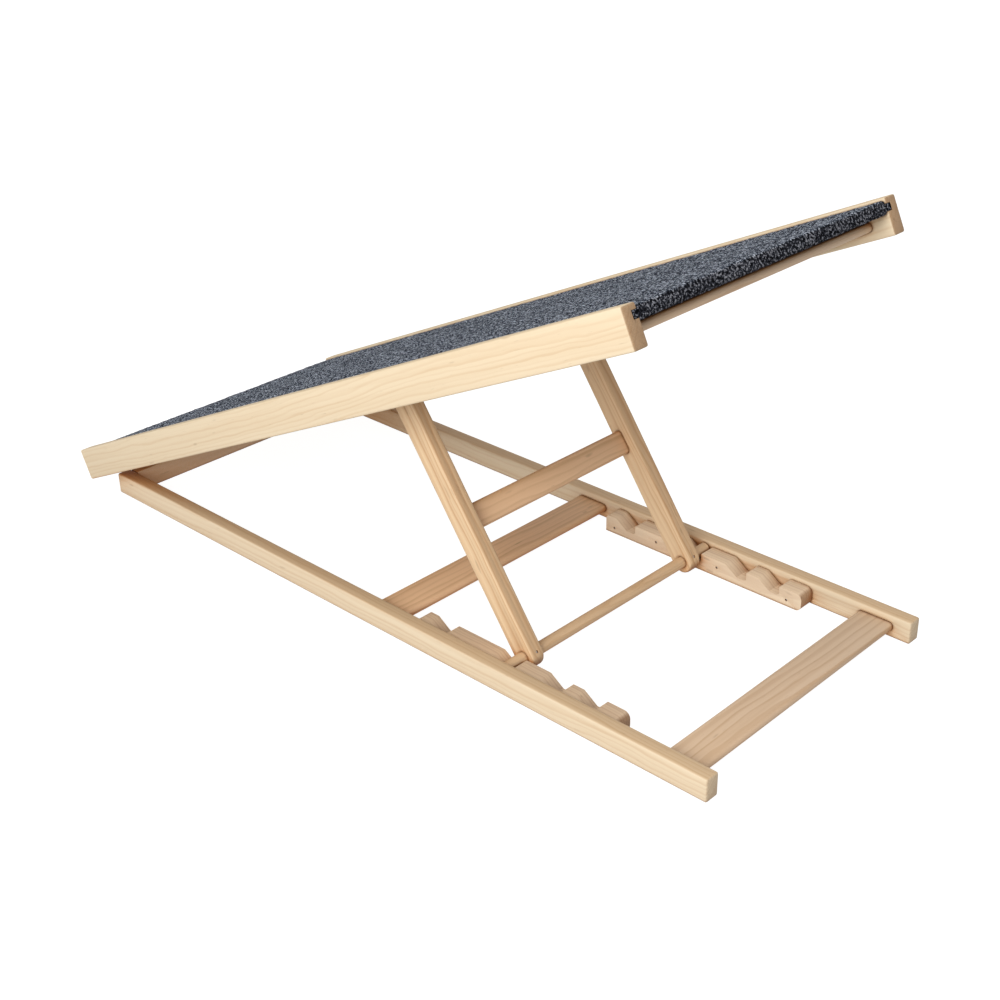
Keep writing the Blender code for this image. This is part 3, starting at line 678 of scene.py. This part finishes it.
@dataclass(frozen=True)
class Stick:
    """One wooden piece, re-cut from its CAD node with eased edges and smooth rounds.

    Args:
        node: The CAD node's name.
        along: Direction of the grain.
        face: Direction out of the wide face.
        cut: How it was sawn.
        seed: Number that makes its figure its own.
        finish: Its pine.
        ease: Radius that its sharp edges are eased to.
    """

    node: str
    along: Vector
    face: Vector
    cut: Cut
    seed: float
    finish: PineFinish = PALE_PINE
    ease: float = 0.0005

    def make(self) -> None:
        """Re-cut the piece and dress it, so that it stands for the CAD node."""
        mesh = self._recut()
        material = self.finish.dress(self.node, middle_of(self.node), self.along, self.face,
                                     self.cut, self.seed)
        piece = new_piece(self.node + "_wood", mesh, body_of_node(self.node), material, [self.node])

    def _recut(self) -> bpy.types.Mesh:
        """Weld the CAD faces, merge the flat ones, ease the sharp edges and smooth the rounds.

        Returns:
            The finished mesh.
        """
        work = bmesh.new()
        work.from_mesh(frame["nodes"][self.node].data)
        bmesh.ops.remove_doubles(work, verts=work.verts, dist=WELD)
        bmesh.ops.dissolve_limit(work, angle_limit=FLAT_ANGLE, verts=work.verts, edges=work.edges)
        sharp = [edge for edge in work.edges
                 if len(edge.link_faces) == 2 and edge.calc_face_angle() > EASED_ANGLE]
        bmesh.ops.bevel(work, geom=sharp, offset=self.ease, segments=2, profile=0.5,
                        affect="EDGES", clamp_overlap=True)
        for face in work.faces:
            face.smooth = True
        for edge in work.edges:
            angle = edge.calc_face_angle() if len(edge.link_faces) == 2 else 0.0
            edge.smooth = angle < CREASE_ANGLE
        mesh = bpy.data.meshes.new(self.node + "_wood")
        work.to_mesh(mesh)
        work.free()
        return mesh


# ------------------------------------------------------------------ sub-assemblies
@dataclass
class BaseFrame:
    """The wood of the frame on the floor: rails, racks and slats.

    Args:
        seed: Number that the sticks' own numbers are added to.
    """

    seed: float = 11.0

    def make(self) -> None:
        """Re-cut and dress every wooden piece of the base."""
        for side, shift in (("left", 0.0), ("right", 2.7)):
            self._add("base_rail_" + side, ALONG_BASE, ACROSS, Cut.RIFT, shift, PALE_PINE)
            self._add("notch_rack_" + side, ALONG_BASE, ACROSS, Cut.FLAT, shift + 0.9, PINK_PINE)
        self._add("base_hinge_rail", ACROSS, ALONG_BASE, Cut.FLAT, 5.0, TAN_PINE)
        self._add("base_mid_slat", ACROSS, UPWARD, Cut.RIFT, 6.1, DUSKY_PINE)
        self._add("base_end_slat", ACROSS, UPWARD, Cut.RIFT, 7.4, TAN_PINE)

    def _add(self, node: str, along: Vector, face: Vector, cut: Cut, shift: float,
             finish: PineFinish) -> None:
        """Make one stick of the base."""
        Stick(node, along, face, cut, self.seed + shift, finish).make()


@dataclass
class SupportFrame:
    """The legs, slat and dowels that prop the ramp up.

    Args:
        seed: Number that the sticks' own numbers are added to.
        dowel_ease: Radius that the dowels' ends are eased to.
    """

    seed: float = 31.0
    dowel_ease: float = 0.0002

    def make(self) -> None:
        """Re-cut and dress every wooden piece of the support."""
        run, rise = WAYS.leg_run, WAYS.leg_rise
        for side, shift in (("left", 0.0), ("right", 1.9)):
            Stick("support_leg_" + side, run, ACROSS, Cut.RIFT, self.seed + shift, LEG_PINE).make()
        Stick("support_slat", ACROSS, rise, Cut.RIFT, self.seed + 4.0, DUSKY_PINE).make()
        for name, shift in (("foot_dowel", 5.0), ("pivot_dowel", 6.0)):
            Stick(name, ACROSS, rise, Cut.TURNED, self.seed + shift, ROD_PINE,
                  self.dowel_ease).make()


@dataclass
class CarpetSheet:
    """The felt over the deck: one cut of carpet turned round both ends of the board.

    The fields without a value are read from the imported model, along (u) and out of (w) the ramp.

    Args:
        cell: Size of a mesh cell.
        lump: Height of the felt's lumps.
        fine_share: Share of the lumps that are one cell wide.
        broad_share: Share of the lumps that are two or three cells wide.
        lump_seed: Seed of the lumps.
        corner: Radius of its outside bends.
        corner_points: Points round each bend.
        edge_drop: How far the pile drops at the cut edges beside the rails.
        edge_reach: Width over which it drops.
        edge_steps: Where the mesh has a row in that width, from the cut edge inwards.
        tongue_cuts: Cuts across each face of a tongue in a groove's mouth.
        tongue_fill: Half of how much of the mouth a tongue fills.
        tongue_lump: Height of a tongue's lumps, as a share of its size.
        tongue_seed: Seed of the tongues' lumps.
        low_u, high_u: The carpet's ends.
        low_w, high_w: Its lower and upper faces.
        board_u, board_w: The board's ends and faces, with the gap that the felt keeps.
        half: Half of the carpet's width.
        reach: Half of the width with its tongues.
        wrap: Thickness round the board's ends.
        returns: Where it ends underneath.
    """

    cell: float = 0.0031
    lump: float = 0.00042
    fine_share: float = 0.55
    broad_share: float = 0.8
    lump_seed: int = 7
    corner: float = 0.0032
    corner_points: int = 7
    edge_drop: float = 0.0012
    edge_reach: float = 0.0030
    edge_steps: Tuple[float, ...] = (0.0, 0.12, 0.35, 0.65)
    tongue_cuts: int = 4
    tongue_fill: float = 0.46
    tongue_lump: float = 0.03
    tongue_seed: int = 3
    low_u: float = field(init=False)
    high_u: float = field(init=False)
    low_w: float = field(init=False)
    high_w: float = field(init=False)
    board_u: Tuple[float, float] = field(init=False)
    board_w: Tuple[float, float] = field(init=False)
    half: float = field(init=False)
    reach: float = field(init=False)
    wrap: float = field(init=False)
    returns: Tuple[float, float] = field(init=False)

    def make(self) -> None:
        """Lay the carpet on the board and its tongues in the rails' grooves."""
        self._measure()
        felt = FeltFinish().dress("felt")
        for end, u in (("low", self.low_u), ("high", self.high_u - self.wrap)):
            for side, sign in (("left", 1), ("right", -1)):
                self._tongue("felt_tongue_{}_{}".format(end, side), u, sign, felt)
        path, across = self._path(), self._stations()
        mesh = self._stitch(self._outer(path, across), self._inner(path, across))
        piece = new_piece("deck_felt", mesh, "ramp", felt, ["deck_carpet"])

    def _measure(self) -> None:
        """Read the carpet's and the board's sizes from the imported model."""
        run, rise = np.array(WAYS.ramp_run), np.array(WAYS.ramp_rise)
        points = {node: np.array([v.co for v in frame["nodes"][node].data.vertices])
                  for node in ("deck_carpet", "deck_board")}
        felt, board = points["deck_carpet"], points["deck_board"]
        self.low_u, self.high_u = (felt @ run).min(), (felt @ run).max()
        self.low_w, self.high_w = (felt @ rise).min(), (felt @ rise).max()
        self.board_u = ((board @ run).min() - BOARD_GAP, (board @ run).max() + BOARD_GAP)
        self.board_w = ((board @ rise).min() - BOARD_GAP, (board @ rise).max() + BOARD_GAP)
        self.half = float(felt[(felt @ rise) > self.board_w[1], 1].max())
        self.reach = float(felt[:, 1].max())
        self.wrap = self.high_u - (board @ run).max() - BOARD_GAP
        under = felt[(felt @ rise) < self.board_w[0] - BOARD_GAP]
        along = np.sort(np.unique(np.round(under @ run, 5)))
        middle = (self.low_u + self.high_u) / 2
        self.returns = (along[along < middle].max(), along[along > middle].min())

    def _tongue(self, name: str, u: float, sign: int, felt: bpy.types.Material) -> None:
        """Fill a groove's mouth with the felt that turns round the board's corner.

        Args:
            name: The piece's name.
            u: Its low end along the ramp.
            sign: Which side of the ramp it is on.
            felt: The felt's material.
        """
        thick = self.board_w[1] - self.board_w[0] - 2 * BOARD_GAP
        size = Vector((self.wrap, self.reach - self.half, thick))
        middle = Vector((u + self.wrap / 2, sign * (self.half + self.reach) / 2,
                         sum(self.board_w) / 2))
        work = bmesh.new()
        bmesh.ops.create_cube(work, size=1.0)
        bmesh.ops.subdivide_edges(work, edges=work.edges, cuts=self.tongue_cuts, use_grid_fill=True)
        noise = np.random.default_rng(int(abs(middle.x) * PER_METRE) + sign + self.tongue_seed)
        for vert in work.verts:
            lumps = noise.uniform(-self.tongue_lump, self.tongue_lump, 3)
            lumpy = Vector(np.clip(vert.co, -self.tongue_fill, self.tongue_fill) + lumps)
            place = middle + Vector(lumpy[i] * size[i] for i in range(3))
            vert.co = place.x * WAYS.ramp_run + place.z * WAYS.ramp_rise + place.y * ACROSS
        for face in work.faces:
            face.smooth = True
        mesh = bpy.data.meshes.new(name)
        work.to_mesh(mesh)
        work.free()
        new_piece(name, mesh, "ramp", felt, ["deck_carpet"])

    def _path(self) -> np.ndarray:
        """The outer side of the carpet, from the low return over the top to the high return.

        Returns:
            Points (u, w), one cell apart.
        """
        radius = self.corner
        corners = [((self.low_u + radius, self.low_w + radius), 1.5 * math.pi),
                   ((self.low_u + radius, self.high_w - radius), math.pi),
                   ((self.high_u - radius, self.high_w - radius), 0.5 * math.pi),
                   ((self.high_u - radius, self.low_w + radius), 0.0)]
        points = [(self.returns[0], self.low_w)]
        for (u, w), start in corners:
            for angle in np.linspace(start, start - math.pi / 2, self.corner_points):
                points.append((u + radius * math.cos(angle), w + radius * math.sin(angle)))
        points.append((self.returns[1], self.low_w))
        points = np.array(points)
        steps = np.linalg.norm(np.diff(points, axis=0), axis=1)
        run = np.concatenate([[0.0], np.cumsum(steps)])
        places = np.linspace(0.0, run[-1], int(round(run[-1] / self.cell)) + 1)
        return np.stack([np.interp(places, run, points[:, i]) for i in (0, 1)], axis=1)

    def _stations(self) -> np.ndarray:
        """Places across the carpet, closer together at its cut edges.

        Returns:
            The places, from side to side.
        """
        inside = self.half - self.edge_reach
        count = int(round(2 * inside / self.cell)) + 1
        edge = self.half - self.edge_reach * np.array(self.edge_steps)
        return np.concatenate([-edge, np.linspace(-inside, inside, count), edge[::-1]])

    def _outer(self, path: np.ndarray, across: np.ndarray) -> np.ndarray:
        """The felted outer surface, with its lumps and rolled cut edges.

        Args:
            path: Points (u, w) along the carpet.
            across: Places across it.

        Returns:
            Points, shaped (along, across, 3).
        """
        run = np.gradient(path, axis=0)
        run /= np.linalg.norm(run, axis=1)[:, None]
        out = np.stack([-run[:, 1], run[:, 0]], axis=1)
        lumps = self._lumps(len(path), len(across))
        margin = (self.half - np.abs(across)) / self.edge_reach
        roll = self.edge_drop * (1 - np.clip(margin, 0, 1)) ** 2
        lift = lumps * self.lump - self.lump - roll[None, :]
        side = path[:, None, :] + lift[..., None] * out[:, None, :]
        return self._to_world(side[..., 0], side[..., 1], across)

    def _inner(self, path: np.ndarray, across: np.ndarray) -> np.ndarray:
        """The glued side of the carpet, flat against the board.

        Args:
            path: Points (u, w) along the carpet.
            across: Places across it.

        Returns:
            Points, shaped (along, across, 3).
        """
        u = np.clip(path[:, 0], *self.board_u)[:, None] + np.zeros(len(across))
        w = np.clip(path[:, 1], *self.board_w)[:, None] + np.zeros(len(across))
        return self._to_world(u, w, across)

    def _lumps(self, rows: int, columns: int) -> np.ndarray:
        """Smooth random lumps, about one to three cells wide.

        Args:
            rows: Points along the carpet.
            columns: Points across it.

        Returns:
            Heights about 0, shaped (rows, columns).
        """
        noise = np.random.default_rng(self.lump_seed)
        fine = noise.uniform(-1, 1, (rows, columns))
        broad = noise.uniform(-1, 1, (rows // 2 + 2, columns // 2 + 2))
        broad = np.kron(broad, np.ones((2, 2)))[:rows, :columns]
        for axis in (0, 1):
            broad = (broad + np.roll(broad, 1, axis)) / 2
        return self.fine_share * fine + self.broad_share * broad

    @staticmethod
    def _to_world(u: np.ndarray, w: np.ndarray, across: np.ndarray) -> np.ndarray:
        """Points in the world from their places on the ramp.

        Args:
            u: Places along the ramp.
            w: Places out of it.
            across: Places across it.

        Returns:
            Points, shaped (along, across, 3).
        """
        run, rise = np.array(WAYS.ramp_run), np.array(WAYS.ramp_rise)
        points = u[..., None] * run + w[..., None] * rise
        points[..., 1] += across
        return points

    @staticmethod
    def _stitch(outer: np.ndarray, inner: np.ndarray) -> bpy.types.Mesh:
        """Join the two sides of the carpet round their rim into one closed mesh.

        Args:
            outer: Points of the felted side.
            inner: Points of the glued side.

        Returns:
            The mesh.
        """
        rows, columns = outer.shape[:2]
        index = np.arange(rows * columns).reshape(rows, columns)

        def quads(grid: np.ndarray) -> np.ndarray:
            """Four corners of each cell of a grid of indices."""
            corners = [grid[:-1, :-1], grid[:-1, 1:], grid[1:, 1:], grid[1:, :-1]]
            return np.stack(corners, axis=-1).reshape(-1, 4)

        rim = np.concatenate([index[0, :], index[1:, -1], index[-1, -2::-1], index[-2:0:-1, 0]])
        after = np.roll(rim, -1)
        under = rows * columns
        walls = np.stack([rim, rim + under, after + under, after], axis=-1)
        faces = np.concatenate([quads(index), quads(index + under)[:, ::-1], walls])
        points = np.concatenate([outer.reshape(-1, 3), inner.reshape(-1, 3)])
        mesh = bpy.data.meshes.new("deck_felt")
        mesh.from_pydata(points.tolist(), [], faces.tolist())
        mesh.polygons.foreach_set("use_smooth", np.ones(len(faces), bool))
        work = bmesh.new()
        work.from_mesh(mesh)
        bmesh.ops.recalc_face_normals(work, faces=work.faces)
        work.to_mesh(mesh)
        work.free()
        mesh.set_sharp_from_angle(angle=FELT_CREASE_ANGLE)
        return mesh


@dataclass
class RampPanel:
    """The panel that the dog walks up: grooved rails, cross pieces, board and carpet.

    Args:
        seed: Number that the sticks' own numbers are added to.
    """

    seed: float = 51.0

    def make(self) -> None:
        """Re-cut and dress the wood, and lay the board and the carpet."""
        run, rise = WAYS.ramp_run, WAYS.ramp_rise
        for side, shift in (("left", 0.0), ("right", 3.3)):
            Stick("ramp_rail_" + side, run, ACROSS, Cut.RIFT, self.seed + shift, CREAM_PINE).make()
        for name, face, shift in (("ramp_hinge_rail", run, 5.0), ("ramp_mid_slat", rise, 6.0),
                                  ("ramp_end_slat", rise, 7.0)):
            Stick(name, ACROSS, face, Cut.FLAT, self.seed + shift, TAN_PINE).make()
        board = frame["nodes"]["deck_board"]
        board.material_slots[0].material = HardboardFinish().dress("hardboard_deck")
        LOG.info("deck_board: dressed")
        CarpetSheet().make()


@dataclass
class Ironmongery:
    """Hinges, screws and brads.

    Args:
        marks: Words in the names of the steel nodes.
    """

    marks: Tuple[str, ...] = ("hinge_base_leaf", "hinge_ramp_leaf", "hinge_pin", "screw", "brad")

    def make(self) -> None:
        """Give every steel node its plating."""
        steel = SteelFinish().dress("zinc_plate")
        for name, node in frame["nodes"].items():
            if any(mark in name for mark in self.marks):
                node.material_slots[0].material = steel
                LOG.info("%s: plated", name)


# ------------------------------------------------------------------ studio
@dataclass(frozen=True)
class SoftLamp:
    """A square soft lamp that looks at the ramp.

    Args:
        name: The lamp's name.
        place: Where it hangs.
        size: Its side.
        power: Its power in watts.
        colour: Its colour.
        aim: What it looks at.
    """

    name: str
    place: Vector
    size: float
    power: float
    colour: Colour
    aim: Vector = Vector((0.0, 0.0, 0.15))

    def hang(self) -> None:
        """Hang the lamp in the studio."""
        data = bpy.data.lights.new(self.name, "AREA")
        data.shape = "SQUARE"
        data.size, data.energy, data.color = self.size, self.power, self.colour
        lamp = bpy.data.objects.new(self.name, data)
        bpy.context.scene.collection.objects.link(lamp)
        lamp.location = self.place
        lamp.rotation_euler = (self.aim - self.place).to_track_quat("-Z", "Y").to_euler()


@dataclass(frozen=True)
class Studio:
    """A pale floor, soft light and the camera.

    Args:
        camera_place: Where the camera stands.
        camera_yaw: How far it is turned about the upright axis.
        camera_pitch: How far it is tilted up from looking straight down.
        camera_roll: How far it is turned about its own line of sight.
        lens: Its focal length in millimetres.
        sensor: Its sensor's width in millimetres.
        shift: Shift of the lens, across and up, as a share of the picture.
        floor_half: Half of the floor's side.
        floor_grey: The floor's own grey.
        floor_glow: The floor's glow as the ramp sees it.
        floor_shown: What is added to that glow as the camera sees it.
        sky_light: Strength of the backdrop as the ramp sees it.
        sky_shown: Strength of the backdrop as the camera sees it.
        lamps: The soft lamps.
    """

    camera_place: Vector = Vector((1.1877, -1.1643, 0.9502))
    camera_yaw: float = math.radians(41.484)
    camera_pitch: float = math.radians(62.089)
    camera_roll: float = math.radians(0.191)
    lens: float = 56.58
    sensor: float = 36.0
    shift: Tuple[float, float] = (-0.0714, 0.0015)
    floor_half: float = 30.0
    floor_grey: Colour = (0.25, 0.25, 0.25)
    floor_glow: float = 0.33
    floor_shown: float = 0.62
    sky_light: float = 0.50
    sky_shown: float = 1.0
    lamps: Tuple[SoftLamp, ...] = (
        SoftLamp("key", Vector((0.95, -2.75, 1.70)), 2.2, 75.0, (1.0, 0.98, 0.95)),
        SoftLamp("overhead", Vector((0.3, 0.4, 3.2)), 3.0, 17.0, (1.0, 0.985, 0.965)),
    )

    def make(self) -> None:
        """Build the whole studio."""
        self._camera()
        self._floor()
        self._world()
        for lamp in self.lamps:
            lamp.hang()
        scene = bpy.context.scene
        scene.view_settings.view_transform = "Standard"
        scene.view_settings.look = "None"

    def _camera(self) -> None:
        """Stand the camera where the ramp is seen from its open end."""
        data = bpy.data.cameras.new("camera")
        data.lens = self.lens
        data.sensor_width = self.sensor
        data.shift_x, data.shift_y = self.shift
        camera = bpy.data.objects.new("camera", data)
        bpy.context.scene.collection.objects.link(camera)
        camera.location = self.camera_place
        turn = (Matrix.Rotation(self.camera_yaw, 4, "Z")
                @ Matrix.Rotation(self.camera_pitch, 4, "X")
                @ Matrix.Rotation(self.camera_roll, 4, "Z"))
        camera.rotation_euler = turn.to_euler()
        bpy.context.scene.camera = camera

    def _floor(self) -> None:
        """Lay a wide pale floor."""
        work = bmesh.new()
        bmesh.ops.create_grid(work, x_segments=4, y_segments=4, size=self.floor_half)
        mesh = bpy.data.meshes.new("floor")
        work.to_mesh(mesh)
        work.free()
        floor = bpy.data.objects.new("floor", mesh)
        bpy.context.scene.collection.objects.link(floor)
        bench = ShaderBench("floor_paper", roughness=0.9, specular=0.1)
        bench.shader.inputs["Base Color"].default_value = (*self.floor_grey, 1.0)
        bench.shader.inputs["Emission Color"].default_value = (*WHITE, 1.0)
        seen = bench.node("LightPath").outputs["Is Camera Ray"]
        bench.wire(Emission_Strength=bench.level(seen, self.floor_shown, self.floor_glow))
        mesh.materials.append(bench.material)

    def _world(self) -> None:
        """Light the studio evenly from all round, with a white backdrop."""
        world = bpy.data.worlds.new("studio")
        bpy.context.scene.world = world
        world.use_nodes = True
        tree = world.node_tree
        back = tree.nodes["Background"]
        back.inputs["Color"].default_value = (*WHITE, 1.0)
        path = tree.nodes.new("ShaderNodeLightPath")
        strength = tree.nodes.new("ShaderNodeMapRange")
        strength.inputs["To Min"].default_value = self.sky_light
        strength.inputs["To Max"].default_value = self.sky_shown
        tree.links.new(path.outputs["Is Camera Ray"], strength.inputs["Value"])
        tree.links.new(strength.outputs["Result"], back.inputs["Strength"])


def main() -> None:
    """Build the sub-assemblies and the studio, and log when each is done."""
    logging.basicConfig(level=logging.INFO, format="%(message)s")
    for assembly in (BaseFrame(), SupportFrame(), RampPanel(), Ironmongery(), Studio()):
        assembly.make()
        LOG.info("%s is done", type(assembly).__name__)


if __name__ == "__main__":
    main()
